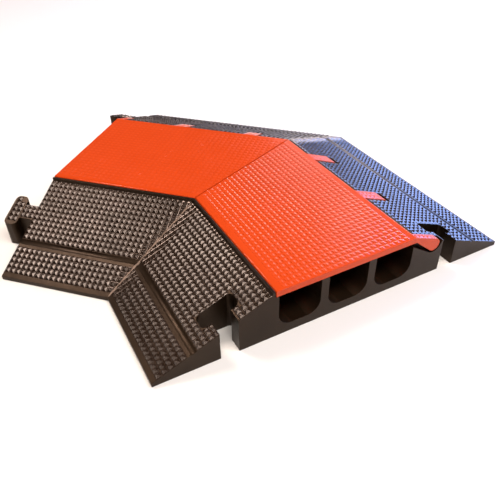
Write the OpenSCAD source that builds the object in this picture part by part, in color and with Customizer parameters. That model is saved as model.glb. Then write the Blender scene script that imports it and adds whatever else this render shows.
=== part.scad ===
// Turn section of a cable protector ramp: three covered channels that go round a bend.
// Two castings, bonded along the mitre, form the base. Each arm has its own lid on its own hinge rod.
// Origin: on the ground, where the centrelines of the two arms meet.
// +X runs towards the slotted end, +Y towards the outside of the turn, +Z up.
//
// The right arm is drawn in arm coordinates, then turned into place: x runs along the arm from the
// mitre, y across it from the centreline, outwards positive. The left arm mirrors it.

/* [Section] */
// Width across an arm, from toe to toe
ramp_w = 508; // [500:2:520]
// Height of the closed lids above the ground
height = 69; // [67:1:74]
// Length of each arm along its centreline
arm_len = 260; // [256:2:300]
// Angle that the cables turn through
turn_angle = 45; // [35:1:50]
// Height of the blunt edge at each toe
toe_h = 5.6; // [4:0.2:8]

/* [Cable channels] */
// Clear width of each channel
channel_w = 57; // [50:1:57]
// Thickness of the wall between two channels
divider_w = 11; // [9:1:11]
// Solid thickness below the channels
channel_floor = 13; // [10:1:16]
// Radius along the bottom corners of each channel
channel_r = 18; // [8:1:20]

/* [Lids] */
// Width of a lid's flat plate
lid_w = 200; // [199:1:201]
// Thickness of a lid's plate
lid_t = 8; // [7:0.5:9]
// Radius along a lid's top edge
lid_edge_r = 2; // [1:0.5:3]
// Gap between a lid's long edges and the base
lid_gap = 1.5; // [1:0.5:2]
// Gap between the two lids at the mitre
mitre_gap = 1.6; // [1:0.2:3]
// Gap between a lid and the ledges under it
seat_gap = 0.2; // [0.2:0.1:0.5]
// Width of the ridge that shields a lid's free edge
ridge_w = 4; // [3:0.5:5]
// Height of that ridge above the ramp beside it
ridge_h = 4; // [3:0.5:5]

/* [Hinges] */
// Width of the two middle tabs of a lid
tab_w = 22; // [16:1:28]
// Width of the tab at the end of the arm
end_tab_w = 10; // [9:1:14]
// Distance from the arm's end to the centre of the next tab
tab_inset = 115; // [105:0.5:125]
// Distance between the centres of the two middle tabs
tab_pitch = 121; // [110:1:130]
// Radius of the barrel at a tab's tip
barrel_r = 8.8; // [8.2:0.2:9.4]
// Angle between a tab's underside and the ground
tab_tilt = 40; // [38:1:44]
// Distance of the hinge line beyond the lid's edge
hinge_out = 32; // [31:0.5:32.5]
// Depth of the hinge line below the ramp's surface
hinge_depth = 7.6; // [7:0.2:8]
// Gap round a barrel in its pocket
pocket_gap = 3; // [2.5:0.5:3.5]
// Angle between a pocket's floor and the ground
pocket_tilt = 33; // [31:1:36]
// Gap at each side of a tab
tab_side_gap = 1; // [0.6:0.2:1.2]
// Radius of the hinge rod
rod_r = 3; // [2.5:0.1:3.2]
// Wall that closes the last barrel at the arm's end
rod_cap = 3; // [2:1:4]

/* [Connectors] */
// Distance of each connector's middle from the toe
joint_inset = 94.5; // [90:0.5:95]
// Width of a connector's neck
neck_w = 21; // [18:1:22]
// Length of a connector's neck
neck_len = 20.5; // [20.5:0.5:22]
// Width of a connector's head
head_w = 44.5; // [42:0.5:45.5]
// Reach of a connector from the arm's end
joint_len = 40.5; // [38:0.5:44]
// Radius at the corners of a connector's head
head_r = 7; // [3:0.5:8]
// Gap all round a connector in its slot
joint_gap = 1.2; // [0.8:0.1:1.2]

/* [Smooth grooves] */
// Distance of each groove's middle from the toe
groove_inset = 51.5; // [48:0.5:54]
// Width of each groove
groove_w = 8; // [6:0.5:12]
// Depth of each groove
groove_d = 1; // [0.4:0.2:2.4]

/* [Hidden] */
$fn = 64;

half_w = ramp_w / 2;
half_turn = turn_angle / 2;
half_lid = lid_w / 2;
mitre_reach = half_w * tan(half_turn);    // how far the mitre runs along an arm, each way from the centreline
span = ramp_w + arm_len;                  // longer than anything that is cut
over = 1;                                 // how far a cut runs past a face

// Across the arm, seen from its end
ridge_in = half_lid + lid_gap;            // the ridge's face towards the lid
ridge_out = ridge_in + ridge_w;           // where the ridge meets the inner ramp
ramp_top = height - ridge_h;
ramp_slope = (ramp_top - toe_h) / (half_w - ridge_out);
slope_angle = atan(ramp_slope);
ledge_z = height - lid_t - seat_gap;
crest_drop = 2.5;                         // how far the outer ramp's top edge is cut down for the lid to swing
channel_pitch = channel_w + divider_w;
groove_r = (groove_w * groove_w / 4 + groove_d * groove_d) / (2 * groove_d);

// Hinge line, square to the outer ramp's surface
hinge_y = half_lid + hinge_out;
hinge_z = ramp_z(hinge_y) - hinge_depth / cos(slope_angle);
pocket_r = barrel_r + pocket_gap;
base_bore_r = rod_r + 0.05;
lid_bore_r = rod_r + 0.08;
rod_from = rod_r + over - hinge_y * tan(half_turn);
rod_to = arm_len - rod_cap - 0.5;

// Each tab as [start, end] along the arm
TABS = [
    [arm_len - end_tab_w, arm_len],
    [arm_len - tab_inset - tab_w / 2, arm_len - tab_inset + tab_w / 2],
    [arm_len - tab_inset - tab_pitch - tab_w / 2, arm_len - tab_inset - tab_pitch + tab_w / 2]
];

// Height of either ramp's surface at a distance y from the centreline
function ramp_z(y) = toe_h + ramp_slope * (half_w - abs(y));
// A point beside the hinge line: down the outer ramp, and out of its surface
function by_hinge(down, out) = [
    hinge_y + down * cos(slope_angle) + out * sin(slope_angle),
    hinge_z - down * sin(slope_angle) + out * cos(slope_angle)
];
// Distance from the centreline at which a barrel's tangent parallel to the outer ramp reaches a height z
function top_y(z) = hinge_y + (hinge_z + barrel_r / cos(slope_angle) - z) / ramp_slope;
// Where a line that rises inwards at an angle touches the underside of a circle round the hinge line
function touch(radius, angle) = [hinge_y - radius * sin(angle), hinge_z - radius * cos(angle)];
// The same line's distance from the centreline at a height z
function under_y(radius, angle, z) = touch(radius, angle)[0] - (z - touch(radius, angle)[1]) / tan(angle);

// Extrudes an outline, drawn as [across, up], along the arm between two stations
module along_arm(from, to) {
    translate([from, 0, 0]) rotate([90, 0, 90]) linear_extrude(to - from) children();
}

// Turns a right arm's shape into place and cuts it off short of the mitre plane
module turned(gap = 0) {
    difference() {
        rotate([0, 0, -half_turn]) children();
        translate([gap / 2 - span, -span, -span]) cube([span, 2 * span, 2 * span]);
    }
}

// ---- Base castings ----

module base_outline() {
    polygon([
        [-half_w, 0], [half_w, 0], [half_w, toe_h],
        [ridge_out, ramp_top], [ridge_in, ramp_top - crest_drop], [ridge_in, ledge_z],
        [-ridge_in, ledge_z], [-ridge_in, height], [-ridge_out + ridge_w / 5, height],
        [-ridge_out, ramp_top], [-half_w, toe_h]
    ]);
}

module groove_outline(side) {
    y = half_w - groove_inset;
    lift = groove_r - groove_d;
    translate([side * (y + lift * sin(slope_angle)), ramp_z(y) + lift * cos(slope_angle)])
        circle(groove_r);
}

module channel_outline() {
    inner_w = channel_w - 2 * channel_r;
    translate([-inner_w / 2, channel_floor]) square([inner_w, height]);
    translate([-channel_w / 2, channel_floor + channel_r]) square([channel_w, height]);
    for (side = [-1, 1])
        translate([side * inner_w / 2, channel_floor + channel_r]) circle(channel_r);
}

module pocket_outline() {
    translate([hinge_y, hinge_z]) circle(pocket_r);
    polygon([
        touch(pocket_r, pocket_tilt), by_hinge(pocket_r, 0), by_hinge(pocket_r, height),
        [under_y(pocket_r, pocket_tilt, height), 2 * height], [under_y(pocket_r, pocket_tilt, height), height]
    ]);
}

// T of a connector in plan, its neck on the x axis; gap makes it the slot for one
module joint_outline(gap = 0) {
    head_from = neck_len - gap;
    head_to = joint_len + gap;
    half_head = head_w / 2 + gap;
    translate([-over, -neck_w / 2 - gap]) square([head_from + 2 * over, neck_w + 2 * gap]);
    translate([head_from + head_r, -half_head]) square([head_to - head_from - 2 * head_r, 2 * half_head]);
    translate([head_from, head_r - half_head]) square([head_to - head_from, 2 * (half_head - head_r)]);
    for (x = [head_from + head_r, head_to - head_r], side = [-1, 1])
        translate([x, side * (half_head - head_r)]) circle(head_r);
}

// Both connectors, under the ramps' surface carried on past the arm's end
module connectors() {
    intersection() {
        along_arm(arm_len - over, arm_len + joint_len + over) base_outline();
        for (side = [-1, 1])
            translate([arm_len, side * (half_w - joint_inset), 0])
                linear_extrude(height) joint_outline();
    }
}

module slots() {
    for (side = [-1, 1])
        translate([arm_len, side * (half_w - joint_inset), -over])
            mirror([1, 0, 0]) linear_extrude(height) joint_outline(joint_gap);
}

module rod(radius, from, to) {
    translate([from, hinge_y, hinge_z]) rotate([0, 90, 0]) cylinder(r = radius, h = to - from);
}

module arm_casting(has_connectors) {
    difference() {
        union() {
            along_arm(-mitre_reach - over, arm_len) base_outline();
            if (has_connectors) connectors();
        }
        for (side = [-1, 1]) along_arm(-span, span) groove_outline(side);
        for (i = [-1, 0, 1])
            translate([0, i * channel_pitch, 0]) along_arm(-span, arm_len + over) channel_outline();
        for (tab = TABS)
            along_arm(tab[0] - tab_side_gap, min(tab[1] + tab_side_gap, arm_len + over)) pocket_outline();
        rod(base_bore_r, -span, arm_len - end_tab_w);
        if (!has_connectors) slots();
    }
}

module base_right() {
    color("#2b2624") turned() arm_casting(has_connectors = false);
}

module base_left() {
    color("#2b2624") mirror([1, 0, 0]) turned() arm_casting(has_connectors = true);
}

// ---- Lids ----

module lid_outline() {
    under = height - lid_t;
    translate([-half_lid, under]) square([lid_w, lid_t - lid_edge_r]);
    translate([-half_lid + lid_edge_r, under]) square([lid_w - 2 * lid_edge_r, lid_t]);
    for (side = [-1, 1])
        translate([side * (half_lid - lid_edge_r), height - lid_edge_r]) circle(lid_edge_r);
}

module tab_outline() {
    root_y = half_lid - 2 * lid_t;
    under = height - lid_t;
    translate([hinge_y, hinge_z]) circle(barrel_r);
    polygon([
        [root_y, height], [top_y(height), height], by_hinge(0, barrel_r),
        touch(barrel_r, tab_tilt), [under_y(barrel_r, tab_tilt, under), under], [root_y, under]
    ]);
}

module arm_lid() {
    difference() {
        union() {
            along_arm(-mitre_reach, arm_len) lid_outline();
            for (tab = TABS) along_arm(tab[0], tab[1]) tab_outline();
        }
        rod(lid_bore_r, -span, arm_len - rod_cap);
    }
}

module lid_right() {
    color("#f05023") turned(mitre_gap) arm_lid();
}

module lid_left() {
    color("#f05023") mirror([1, 0, 0]) turned(mitre_gap) arm_lid();
}

// ---- Hinge rods ----

module hinge_rod_right() {
    color("#d8d2b8") rotate([0, 0, -half_turn]) rod(rod_r, rod_from, rod_to);
}

module hinge_rod_left() {
    color("#d8d2b8") mirror([1, 0, 0]) rotate([0, 0, -half_turn]) rod(rod_r, rod_from, rod_to);
}

base_right();
base_left();
lid_right();
lid_left();
hinge_rod_right();
hinge_rod_left();
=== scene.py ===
"""Looks of a cable protector ramp's turn section: two rubber castings, two hinged lids and their rods."""

import math
import random

import bmesh
import bpy
from mathutils import Matrix, Vector


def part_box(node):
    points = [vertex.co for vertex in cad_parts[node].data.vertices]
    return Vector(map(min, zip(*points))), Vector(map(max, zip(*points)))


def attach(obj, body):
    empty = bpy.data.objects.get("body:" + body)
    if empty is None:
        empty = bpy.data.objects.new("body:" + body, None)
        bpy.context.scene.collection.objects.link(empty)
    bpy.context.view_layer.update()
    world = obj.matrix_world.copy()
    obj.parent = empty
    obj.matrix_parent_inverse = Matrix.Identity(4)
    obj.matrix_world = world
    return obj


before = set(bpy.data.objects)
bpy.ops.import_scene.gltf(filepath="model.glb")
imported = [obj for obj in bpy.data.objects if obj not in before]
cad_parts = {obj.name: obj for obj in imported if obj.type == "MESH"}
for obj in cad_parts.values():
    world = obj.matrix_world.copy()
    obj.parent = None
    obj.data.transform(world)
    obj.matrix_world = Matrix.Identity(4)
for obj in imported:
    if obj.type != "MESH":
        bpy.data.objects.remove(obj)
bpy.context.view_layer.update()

# Sizes in metres. Arm coordinates: u runs along an arm from where the centrelines meet, y across it with the
# outside of the turn positive, z up. The right arm is turned by -HALF_TURN about Z, and the left mirrors it.
MM = 0.001
HALF_TURN = math.radians(22.5)
HALF_W = 254 * MM
ARM_LEN = 260 * MM
LID_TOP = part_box("lid_right")[1].z

# The ramps. GROOVE_INSET is from the toe to the middle of the groove
TOE_H = 5.6 * MM
RIDGE_OUT = 105.5 * MM
RAMP_TOP = 65 * MM
SLOPE = (RAMP_TOP - TOE_H) / (HALF_W - RIDGE_OUT)
SLOPE_ANGLE = math.atan(SLOPE)
GROOVE_INSET = 51.5 * MM
GROOVE_W = 8 * MM
GROOVE_D = 1 * MM

# The lids, and their tabs, each as (start, end) along the arm. HINGE_DEPTH is measured square to the ramp,
# and POCKET_END is where the pockets for the tabs end, across the arm
HALF_LID = 100 * MM
LID_EDGE = 2 * MM
MITRE_GAP = 1.6 * MM
TABS = ((250 * MM, 260 * MM), (134 * MM, 156 * MM), (13 * MM, 35 * MM))
TAB_SIDE_GAP = 1 * MM
BARREL_R = 8.8 * MM
HINGE_DEPTH = 7.6 * MM
HINGE_Y = 132 * MM
HINGE_Z = TOE_H + SLOPE * (HALF_W - HINGE_Y) - HINGE_DEPTH / math.cos(SLOPE_ANGLE)
POCKET_END = 145.8 * MM

# The connectors, and the slots that take them
JOINT_Y = 159.5 * MM
JOINT_GAP = 1.2 * MM
HALF_NECK = 10.5 * MM
HALF_HEAD = 22.25 * MM
NECK_LEN = 20.5 * MM
JOINT_LEN = 40.5 * MM
HEAD_R = 7 * MM

# The ramps' treads. A stud's rings run from its root up to its tip, as (share of the half width, height).
# Rows are placed by the distance of their middle from the toe, in a field on each side of the groove. Next to
# the bonded mitre a stud keeps MELT_LEAST of its height
PITCH = 7.5 * MM
RAMP_STUD = 7.2 * MM
LEAST_STUD = 0.4 * RAMP_STUD
RAMP_RINGS = ((1.0, -0.5 * MM), (1.0, 0.0), (0.8, 0.3 * MM), (0.2, 1.95 * MM), (0.08, 2.15 * MM))
TOE_ROWS = [10 * MM + PITCH * i for i in range(5)]
UPPER_ROWS = [59.2 * MM + PITCH * i for i in range(13)]
CREST_CLEAR = 0.2 * MM
END_BORDER = 0.25 * MM
SEAM_CLEAR = 0.9 * MM
MELT_REACH = 16 * MM
MELT_LEAST = 0.45

# The lids' treads
LID_PITCH = 7.6 * MM
LID_STUD = 5.8 * MM
LID_RINGS = ((1.0, -0.5 * MM), (1.0, 0.0), (0.55, 0.32 * MM))
LID_BORDER = 6.2 * MM
TAB_RINGS = ((1.0, -0.5 * MM), (1.0, 0.0), (0.5, 0.55 * MM))
TAB_ROWS = 4
TAB_CLEAR = 1.2 * MM

# The bead along the mitre. BEAD_TOP is its section's top, as (share of the half width, share of the height).
# Its width and height vary along it, between the shares in BEAD_WIDTHS and BEAD_HEIGHTS
BEAD_SEED = 7
BEAD_STEP = 2.2 * MM
HALF_BEAD = 2.1 * MM
BEAD_PROUD = 0.7 * MM
BEAD_SUNK = 0.6 * MM
BEAD_DRIFT = 0.4 * MM
BEAD_TOP = ((-0.85, 0.1), (-0.3, 1.0), (0.35, 0.9), (0.9, 0.1))
BEAD_WIDTHS = (0.7, 1.35)
BEAD_HEIGHTS = (0.6, 1.4)
BEAD_END_SHARE = 0.35
BEAD_CREST_CLEAR = 1.5 * MM
BEAD_TOE_CLEAR = 1 * MM

# The rounding of the CAD nodes
WELD_REACH = 0.01 * MM
FLAT_ANGLE = math.radians(0.5)
SHARP_ANGLE = math.radians(35)
EDGE_ROUND = 0.8 * MM


def ramp_z(y):
    """Height of the ramp's surface at a distance y from the centreline."""
    return TOE_H + SLOPE * (HALF_W - abs(y))


# ---- Arms and pieces ----

class Arm:
    """Places arm coordinates in the frame. sign is 1 for the right arm and -1 for the left."""

    def __init__(self, name, sign):
        self.name = name
        self.sign = sign

    def place(self, point):
        turned = Matrix.Rotation(-HALF_TURN, 3, "Z") @ Vector(point)
        return Vector((self.sign * turned.x, turned.y, turned.z))


ARMS = (Arm("right", 1), Arm("left", -1))


def from_mitre(u, y):
    """Distance of a point from the mitre plane."""
    return u * math.cos(HALF_TURN) + y * math.sin(HALF_TURN)


class Shape:
    """Collects closed solids drawn in one arm's coordinates, to become one piece.
    wear is a number for each point: 0 in a hollow, 1 at a tip."""

    def __init__(self, arm):
        self.arm = arm
        self.points = []
        self.faces = []
        self.wear = []

    def add(self, points, faces, wear):
        """Adds a solid. The mirrored arm's faces are turned round, so that they still face outwards."""
        first = len(self.points)
        self.points += [self.arm.place(p) for p in points]
        self.faces += [[first + i for i in face][::self.arm.sign] for face in faces]
        self.wear += wear

    def to_piece(self, name, body, material, cut_at):
        mesh = bpy.data.meshes.new(name)
        mesh.from_pydata(self.points, [], self.faces)
        set_wear(mesh, self.wear)
        cut_at_mitre(mesh, self.arm.sign, cut_at)
        add_piece(name, mesh, body, material)


def set_wear(mesh, wear):
    mesh.attributes.new("wear", "FLOAT", "POINT").data.foreach_set("value", wear)


def cut_at_mitre(mesh, sign, gap):
    """Cuts a mesh off short of the mitre plane, and closes each solid that was cut."""
    bm = bmesh.new()
    bm.from_mesh(mesh)
    cut = bmesh.ops.bisect_plane(
        bm, geom=bm.verts[:] + bm.edges[:] + bm.faces[:], dist=1e-7,
        plane_co=(sign * gap, 0, 0), plane_no=(sign, 0, 0), clear_inner=True,
    )
    edges = [e for e in cut["geom_cut"] if isinstance(e, bmesh.types.BMEdge)]
    bmesh.ops.edgeloop_fill(bm, edges=edges)
    bmesh.ops.recalc_face_normals(bm, faces=bm.faces[:])
    bm.to_mesh(mesh)
    bm.free()


def add_piece(name, mesh, body, material):
    """Makes a mesh a piece that rides on a body and takes its finish from a slot."""
    mesh.materials.append(material)
    piece = bpy.data.objects.new(name, mesh)
    bpy.context.scene.collection.objects.link(piece)
    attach(piece, body)


# ---- Treads ----

class Surface:
    """A plane of an arm. height(y) gives its points, and tilt is how steeply it falls towards positive y."""

    def __init__(self, height, tilt):
        self.height = height
        self.normal = Vector((0, math.sin(tilt), math.cos(tilt)))

    def point(self, u, y, lift):
        return Vector((u, y, self.height(y))) + self.normal * lift


def add_stud(shape, surface, area, rings, rise=1.0):
    """Adds a closed stud over a rectangle (u0, u1, y0, y1). rise scales its height."""
    u0, u1, y0, y1 = area
    mid_u, mid_y = (u0 + u1) / 2, (y0 + y1) / 2
    points, wear = [], []
    top = rings[-1][1]
    for share, height in rings:
        half_u, half_y = share * (u1 - u0) / 2, share * (y1 - y0) / 2
        lift = height * rise if height > 0 else height
        for su, sy in ((-1, -1), (1, -1), (1, 1), (-1, 1)):
            points.append(surface.point(mid_u + su * half_u, mid_y + sy * half_y, lift))
            wear.append(max(0.0, height / top))
    faces = [(3, 2, 1, 0)]
    for ring in range(len(rings) - 1):
        low, high = 4 * ring, 4 * ring + 4
        for i in range(4):
            faces.append((low + i, low + (i + 1) % 4, high + (i + 1) % 4, high + i))
    last = 4 * (len(rings) - 1)
    faces.append((last, last + 1, last + 2, last + 3))
    shape.add(points, faces, wear)


def keep_off(area, block):
    """Shrinks a stud's rectangle off a block, or returns None where too little of it is left."""
    u0, u1, y0, y1 = area
    b0, b1, c0, c1 = block
    if u1 <= b0 or u0 >= b1 or y1 <= c0 or y0 >= c1:
        return area
    cuts = (
        (b1 - u0, (b1, u1, y0, y1)), (u1 - b0, (u0, b0, y0, y1)),
        (c1 - y0, (u0, u1, c1, y1)), (y1 - c0, (u0, u1, y0, c0)),
    )
    left = min(cuts, key=lambda option: option[0])[1]
    small = min(left[1] - left[0], left[3] - left[2])
    return left if small >= LEAST_STUD else None


def keep_within(area, room):
    """Cuts a stud's rectangle down to a room, or returns None where too little of it is left."""
    u0, u1 = max(area[0], room[0]), min(area[1], room[1])
    y0, y1 = max(area[2], room[2]), min(area[3], room[3])
    return (u0, u1, y0, y1) if min(u1 - u0, y1 - y0) >= LEAST_STUD else None


def slot_blocks(side):
    """The rectangles that a T slot takes out of a ramp."""
    y = side * JOINT_Y
    neck = ARM_LEN - NECK_LEN + JOINT_GAP
    head = ARM_LEN - JOINT_LEN - JOINT_GAP
    half_neck, half_head = HALF_NECK + JOINT_GAP, HALF_HEAD + JOINT_GAP
    return [(neck, ARM_LEN, y - half_neck, y + half_neck), (head, neck, y - half_head, y + half_head)]


def connector_rooms(side):
    """The rectangles of a T connector, beyond the arm's end."""
    y = side * JOINT_Y
    neck_end = ARM_LEN + NECK_LEN
    return [
        (ARM_LEN, neck_end, y - HALF_NECK, y + HALF_NECK),
        (neck_end, ARM_LEN + JOINT_LEN, y - HALF_HEAD, y + HALF_HEAD),
    ]


def in_rounded_head(area, side):
    """Whether a stud's corners all lie within the connector head's rounded outline."""
    for u in area[:2]:
        for y in area[2:]:
            past_u = max(ARM_LEN + NECK_LEN + HEAD_R - u, u - (ARM_LEN + JOINT_LEN - HEAD_R), 0)
            past_y = max(abs(y - side * JOINT_Y) - (HALF_HEAD - HEAD_R), 0)
            if u > ARM_LEN + NECK_LEN and math.hypot(past_u, past_y) > HEAD_R:
                return False
    return True


def pocket_blocks():
    """The rectangles that the tabs' pockets take out of the outer ramp."""
    return [(u0 - TAB_SIDE_GAP, u1 + TAB_SIDE_GAP, HALF_LID, POCKET_END) for u0, u1 in TABS]


def columns(start, stop, pitch, size):
    """The stretches along the arm that a row of studs takes, from start back towards stop."""
    count = int((start - stop) / pitch) + 1
    return [(start - i * pitch - size, start - i * pitch) for i in range(count)]


def melt(u, y):
    """How far a stud rises this near the bonded mitre: the hot bond flattened the nearest ones."""
    near = min(1.0, max(0.0, from_mitre(u, y) / MELT_REACH))
    return MELT_LEAST + (1 - MELT_LEAST) * near * near * (3 - 2 * near)


def ramp_row(side, from_toe):
    """The stretch across the arm that a row of studs takes, kept off the ridge's crest."""
    middle = side * (HALF_W - from_toe)
    low, high = middle - RAMP_STUD / 2, middle + RAMP_STUD / 2
    crest = RIDGE_OUT + CREST_CLEAR
    return (low, min(high, -crest)) if side < 0 else (max(low, crest), high)


def add_ramp_row(shape, surface, row, blocks):
    """Adds a row of studs from the arm's end to the mitre, clear of the blocks."""
    stop = -row[1] * math.tan(HALF_TURN)
    for stretch in columns(ARM_LEN - END_BORDER, stop, PITCH, RAMP_STUD):
        area = (*stretch, *row)
        for block in blocks:
            area = area and keep_off(area, block)
        if area:
            narrow = min(area[1] - area[0], area[3] - area[2])
            rise = melt(area[0], area[2]) * min(1.0, narrow / RAMP_STUD)
            add_stud(shape, surface, area, RAMP_RINGS, rise)


def add_connector_row(shape, surface, row, side):
    """Adds the studs of a row that lie on a T connector, in step with those on the arm."""
    start = ARM_LEN - END_BORDER + PITCH * math.ceil(JOINT_LEN / PITCH)
    for stretch in columns(start, ARM_LEN, PITCH, RAMP_STUD):
        for room in connector_rooms(side):
            area = keep_within((*stretch, *row), room)
            if area and in_rounded_head(area, side):
                add_stud(shape, surface, area, RAMP_RINGS)


def ramp_tread(arm, side, material):
    """The studs on one ramp of an arm. side is -1 for the inner ramp and 1 for the outer."""
    shape = Shape(arm)
    surface = Surface(ramp_z, side * SLOPE_ANGLE)
    slotted = arm.sign > 0
    blocks = pocket_blocks() if side > 0 else []
    if slotted:
        blocks += slot_blocks(side)
    for from_toe in TOE_ROWS + UPPER_ROWS:
        row = ramp_row(side, from_toe)
        add_ramp_row(shape, surface, row, blocks)
        if not slotted:
            add_connector_row(shape, surface, row, side)
    name = f"tread_{arm.name}_{'outer' if side > 0 else 'inner'}"
    shape.to_piece(name, "base", material, SEAM_CLEAR)


def add_plate_studs(shape):
    """Adds the studs on the flat of a lid, in rows along the arm that leave a plain border."""
    flat = Surface(lambda y: LID_TOP, 0.0)
    rows = int((2 * HALF_LID - 2 * LID_BORDER + LID_PITCH - LID_STUD) / LID_PITCH)
    first = -(rows - 1) / 2 * LID_PITCH - LID_STUD / 2
    start = ARM_LEN - LID_EDGE - END_BORDER
    for i in range(rows):
        row = (first + i * LID_PITCH, first + i * LID_PITCH + LID_STUD)
        for stretch in columns(start, -row[1] * math.tan(HALF_TURN), LID_PITCH, LID_STUD):
            add_stud(shape, flat, (*stretch, *row), LID_RINGS)


def add_tab_studs(shape):
    """Adds the studs on a lid's tabs, below the crest where their slope leaves the lid's top."""
    foreshorten = math.cos(SLOPE_ANGLE)
    crest_y = HINGE_Y + (HINGE_Z + BARREL_R / foreshorten - LID_TOP) / SLOPE
    slope = Surface(lambda y: LID_TOP - SLOPE * (y - crest_y), SLOPE_ANGLE)
    for u0, u1 in TABS:
        across = int((u1 - u0) / LID_PITCH)
        edge = (u0 + u1 + (across - 1) * LID_PITCH + LID_STUD) / 2
        for i in range(TAB_ROWS):
            low = crest_y + TAB_CLEAR + i * LID_PITCH * foreshorten
            row = (low, low + LID_STUD * foreshorten)
            for j in range(across):
                stretch = (edge - j * LID_PITCH - LID_STUD, edge - j * LID_PITCH)
                add_stud(shape, slope, (*stretch, *row), TAB_RINGS)


def lid_tread(arm, material):
    """The studs on a lid and on its tabs."""
    shape = Shape(arm)
    add_plate_studs(shape)
    add_tab_studs(shape)
    body = f"lid_{arm.name}"
    shape.to_piece(f"tread_{body}", body, material, MITRE_GAP / 2 + SEAM_CLEAR)


# ---- Bond along the mitre ----

def groove_drop(y):
    """How far the groove's floor lies below the ramp's surface, at a distance y from the centreline."""
    off = abs(abs(y) - (HALF_W - GROOVE_INSET))
    return max(0.0, GROOVE_D * (1 - (2 * off / GROOVE_W) ** 2))


def bead_ring(side, y, thin, draw):
    """The points of the bead's section at a distance y from the centreline. thin scales its width and rise."""
    wide = HALF_BEAD * draw.uniform(*BEAD_WIDTHS) * thin
    shift = draw.uniform(-BEAD_DRIFT, BEAD_DRIFT)
    rise = BEAD_PROUD * draw.uniform(*BEAD_HEIGHTS) * thin
    section = [(-1, -BEAD_SUNK), *((across, share * rise) for across, share in BEAD_TOP), (1, -BEAD_SUNK)]
    place = side * y / math.cos(HALF_TURN)
    z = ramp_z(y) - groove_drop(y)
    return [(shift + wide * across, place, z + lift) for across, lift in section]


def bond_bead(side, material):
    """The uneven bead where the two castings are bonded, down one ramp's mitre."""
    draw = random.Random(BEAD_SEED + side)
    start, stop = RIDGE_OUT + BEAD_CREST_CLEAR, HALF_W - BEAD_TOE_CLEAR
    count = int((stop - start) / BEAD_STEP)
    bm = bmesh.new()
    rings = []
    for i in range(count + 1):
        thin = BEAD_END_SHARE if i in (0, count) else 1.0
        ring = bead_ring(side, start + (stop - start) * i / count, thin, draw)
        rings.append([bm.verts.new(point) for point in ring])
    sides = len(rings[0])
    for low, high in zip(rings, rings[1:]):
        for i in range(sides):
            bm.faces.new((low[i], low[(i + 1) % sides], high[(i + 1) % sides], high[i]))
    bm.faces.new(rings[0])
    bm.faces.new(rings[-1])
    bmesh.ops.recalc_face_normals(bm, faces=bm.faces[:])
    name = "bond_bead_outer" if side > 0 else "bond_bead_inner"
    mesh = bpy.data.meshes.new(name)
    bm.to_mesh(mesh)
    bm.free()
    set_wear(mesh, [1.0] * len(mesh.vertices))
    for face in mesh.polygons:
        face.use_smooth = True
    add_piece(name, mesh, "base", material)


# ---- Materials ----

def new_material(name):
    """Makes a node material, and returns it with its tree and its shader."""
    material = bpy.data.materials.new(name)
    material.use_nodes = True
    return material, material.node_tree, material.node_tree.nodes["Principled BSDF"]


def add_node(tree, kind, **settings):
    """Adds a node. A setting whose name starts with in_ is an input's value; the others are properties."""
    node = tree.nodes.new(kind)
    for name, value in settings.items():
        if name.startswith("in_"):
            node.inputs[name[3:].replace("_", " ")].default_value = value
        else:
            setattr(node, name, value)
    return node


def object_coords(tree):
    return add_node(tree, "ShaderNodeTexCoord").outputs["Object"]


def noise(tree, coords, scale, detail, roughness=0.55):
    node = add_node(tree, "ShaderNodeTexNoise", in_Scale=scale, in_Detail=detail, in_Roughness=roughness)
    tree.links.new(coords, node.inputs["Vector"])
    return node.outputs["Fac"]


def remap(tree, value, old, new):
    """Stretches a value from one range (low, high) to another."""
    node = add_node(
        tree, "ShaderNodeMapRange",
        in_From_Min=old[0], in_From_Max=old[1], in_To_Min=new[0], in_To_Max=new[1],
    )
    tree.links.new(value, node.inputs["Value"])
    return node.outputs["Result"]


def blend_colours(tree, share, first, second):
    """Mixes two colours by share. Each colour is a tuple or another node's output.
    A Mix node's sockets share names, so its two colours and its result are found by number."""
    node = add_node(tree, "ShaderNodeMix", data_type="RGBA")
    tree.links.new(share, node.inputs["Factor"])
    for socket, colour in ((node.inputs[6], first), (node.inputs[7], second)):
        if isinstance(colour, tuple):
            socket.default_value = (*colour, 1)
        else:
            tree.links.new(colour, socket)
    return node.outputs[2]


def add_bump(tree, shader, height, strength, depth):
    bump = add_node(tree, "ShaderNodeBump", in_Strength=strength, in_Distance=depth)
    tree.links.new(height, bump.inputs["Height"])
    tree.links.new(bump.outputs["Normal"], shader.inputs["Normal"])


def moulded(name, deep, pale, worn, gloss, specular):
    """A moulded rubber: mottled between two colours, worn towards a third at the tips, with a fine grain.
    gloss is its (lowest, highest) roughness, and specular the reflection's (level, tint)."""
    material, tree, shader = new_material(name)
    level, tint = specular
    shader.inputs["Specular IOR Level"].default_value = level
    shader.inputs["Specular Tint"].default_value = (*tint, 1)
    coords = object_coords(tree)
    patches = noise(tree, coords, scale=9.0, detail=5.0, roughness=0.6)
    mottle = blend_colours(tree, remap(tree, patches, (0.35, 0.68), (0, 1)), deep, pale)
    tips = add_node(tree, "ShaderNodeAttribute", attribute_name="wear").outputs["Fac"]
    scuffs = noise(tree, coords, scale=60.0, detail=3.0)
    uneven = add_node(tree, "ShaderNodeMath", operation="MULTIPLY")
    tree.links.new(remap(tree, tips, (0.35, 1.0), (0, 0.75)), uneven.inputs[0])
    tree.links.new(remap(tree, scuffs, (0.3, 0.7), (0.4, 1)), uneven.inputs[1])
    tree.links.new(blend_colours(tree, uneven.outputs[0], mottle, worn), shader.inputs["Base Color"])
    smears = noise(tree, coords, scale=38.0, detail=6.0, roughness=0.65)
    tree.links.new(remap(tree, smears, (0.3, 0.7), gloss), shader.inputs["Roughness"])
    grain = noise(tree, coords, scale=1400.0, detail=4.0, roughness=0.7)
    add_bump(tree, shader, grain, strength=0.12, depth=0.25 * MM)
    return material


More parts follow.
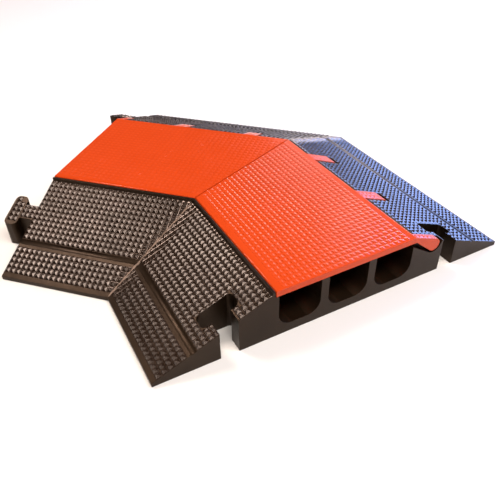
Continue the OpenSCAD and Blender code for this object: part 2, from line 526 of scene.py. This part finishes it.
def fibreglass(name):
    """A pultruded rod: pale resin with a fine fleck."""
    material, tree, shader = new_material(name)
    shader.inputs["Roughness"].default_value = 0.42
    fleck = noise(tree, object_coords(tree), scale=420.0, detail=5.0, roughness=0.7)
    share = remap(tree, fleck, (0.35, 0.65), (0, 1))
    resin = blend_colours(tree, share, (0.52, 0.47, 0.33), (0.74, 0.70, 0.56))
    tree.links.new(resin, shader.inputs["Base Color"])
    add_bump(tree, shader, fleck, strength=0.3, depth=0.1 * MM)
    return material


def black_rubber():
    return moulded(
        "black_rubber", deep=(0.004, 0.0020, 0.0010), pale=(0.013, 0.0075, 0.0040),
        worn=(0.30, 0.21, 0.165), gloss=(0.30, 0.44), specular=(0.28, (1.0, 0.66, 0.44)),
    )


def black_tread():
    """The studs' black: smoother and glossier than the rest of the castings."""
    return moulded(
        "black_tread", deep=(0.006, 0.0025, 0.0012), pale=(0.014, 0.0070, 0.0040),
        worn=(0.022, 0.014, 0.010), gloss=(0.20, 0.32), specular=(0.85, (1.0, 0.80, 0.69)),
    )


def orange_rubber():
    return moulded(
        "orange_rubber", deep=(0.53, 0.046, 0.005), pale=(0.56, 0.050, 0.006),
        worn=(0.58, 0.060, 0.012), gloss=(0.18, 0.28), specular=(0.35, (1.0, 0.60, 0.50)),
    )


# ---- CAD nodes ----

def finish_node(name, material, rounding=0.0):
    """Gives a CAD node its material, merges its flat faces, and rounds its sharp edges by rounding."""
    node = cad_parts[name]
    node.data.materials.clear()
    node.data.materials.append(material)
    weld = node.modifiers.new("weld", "WELD")
    weld.merge_threshold = WELD_REACH
    flat = node.modifiers.new("flat", "DECIMATE")
    flat.decimate_type = "DISSOLVE"
    flat.angle_limit = FLAT_ANGLE
    if rounding:
        bevel = node.modifiers.new("edges", "BEVEL")
        bevel.width = rounding
        bevel.segments = 2
        bevel.limit_method = "ANGLE"
        bevel.angle_limit = SHARP_ANGLE


# ---- Stage ----

def add_camera():
    """The camera looks down and to the left, from beyond the slotted end."""
    camera = bpy.data.objects.new("camera", bpy.data.cameras.new("camera"))
    camera.data.sensor_width = 36
    camera.data.lens = 40.78
    camera.data.clip_start = 0.01
    azimuth, elevation, roll = math.radians(39.74), math.radians(38.12), math.radians(-1.11)
    spot = Matrix.Translation((0.47336, -0.56276, 0.4881))
    turn = Matrix.Rotation(azimuth, 4, "Z") @ Matrix.Rotation(math.pi / 2 - elevation, 4, "X")
    camera.matrix_world = spot @ turn @ Matrix.Rotation(roll, 4, "Z")
    bpy.context.scene.collection.objects.link(camera)
    bpy.context.scene.camera = camera


def add_floor():
    bpy.ops.mesh.primitive_plane_add(size=9, location=(0, 0, -0.2 * MM))
    floor = bpy.context.object
    floor.name = "floor"
    material, _, shader = new_material("pale_floor")
    shader.inputs["Base Color"].default_value = (0.80, 0.77, 0.73, 1)
    shader.inputs["Roughness"].default_value = 0.85
    floor.data.materials.append(material)


def add_world(colour, strength):
    world = bpy.data.worlds.new("studio")
    world.use_nodes = True
    background = world.node_tree.nodes["Background"]
    background.inputs["Color"].default_value = (*colour, 1)
    background.inputs["Strength"].default_value = strength
    bpy.context.scene.world = world


def add_light(name, spot, size, power, colour):
    """A soft box at a spot, aimed at the middle of the ramp."""
    light = bpy.data.lights.new(name, "AREA")
    light.shape = "RECTANGLE"
    light.size, light.size_y = size
    light.energy = power
    light.color = colour
    lamp = bpy.data.objects.new(name, light)
    bpy.context.scene.collection.objects.link(lamp)
    lamp.location = spot
    middle = Vector((0, 0, 0.03))
    lamp.rotation_euler = (middle - Vector(spot)).to_track_quat("-Z", "Y").to_euler()


def add_stage():
    """The camera, the floor and the lights. The cool light is behind, for the outer ramps' blue sheen."""
    add_camera()
    add_floor()
    add_world((1.0, 0.72, 0.55), 0.09)
    add_light("overhead", (0, 0, 4.6), (4.0, 4.0), 10, (1.0, 0.99, 0.97))
    add_light("key", (1.15, -0.25, 2.2), (2.9, 0.7), 82, (1.0, 0.95, 0.91))
    add_light("left", (-1.5, -0.35, 2.4), (0.9, 0.8), 48, (1.0, 0.86, 0.78))
    add_light("sheen", (-0.85, 2.05, 0.72), (0.9, 0.45), 14, (1.0, 0.92, 0.95))
    add_light("cool", (0.6, 2.2, 0.65), (2.3, 0.7), 76, (0.26, 0.43, 1.0))
    bpy.context.scene.view_settings.view_transform = "Standard"


def main():
    add_stage()
    black, tread, orange, rod = black_rubber(), black_tread(), orange_rubber(), fibreglass("fibreglass")
    for arm in ARMS:
        finish_node(f"base_{arm.name}", black, EDGE_ROUND)
        finish_node(f"lid_{arm.name}", orange, EDGE_ROUND)
        finish_node(f"hinge_rod_{arm.name}", rod)
        for side in (-1, 1):
            ramp_tread(arm, side, tread)
        lid_tread(arm, orange)
    for side in (-1, 1):
        bond_bead(side, black)


main()
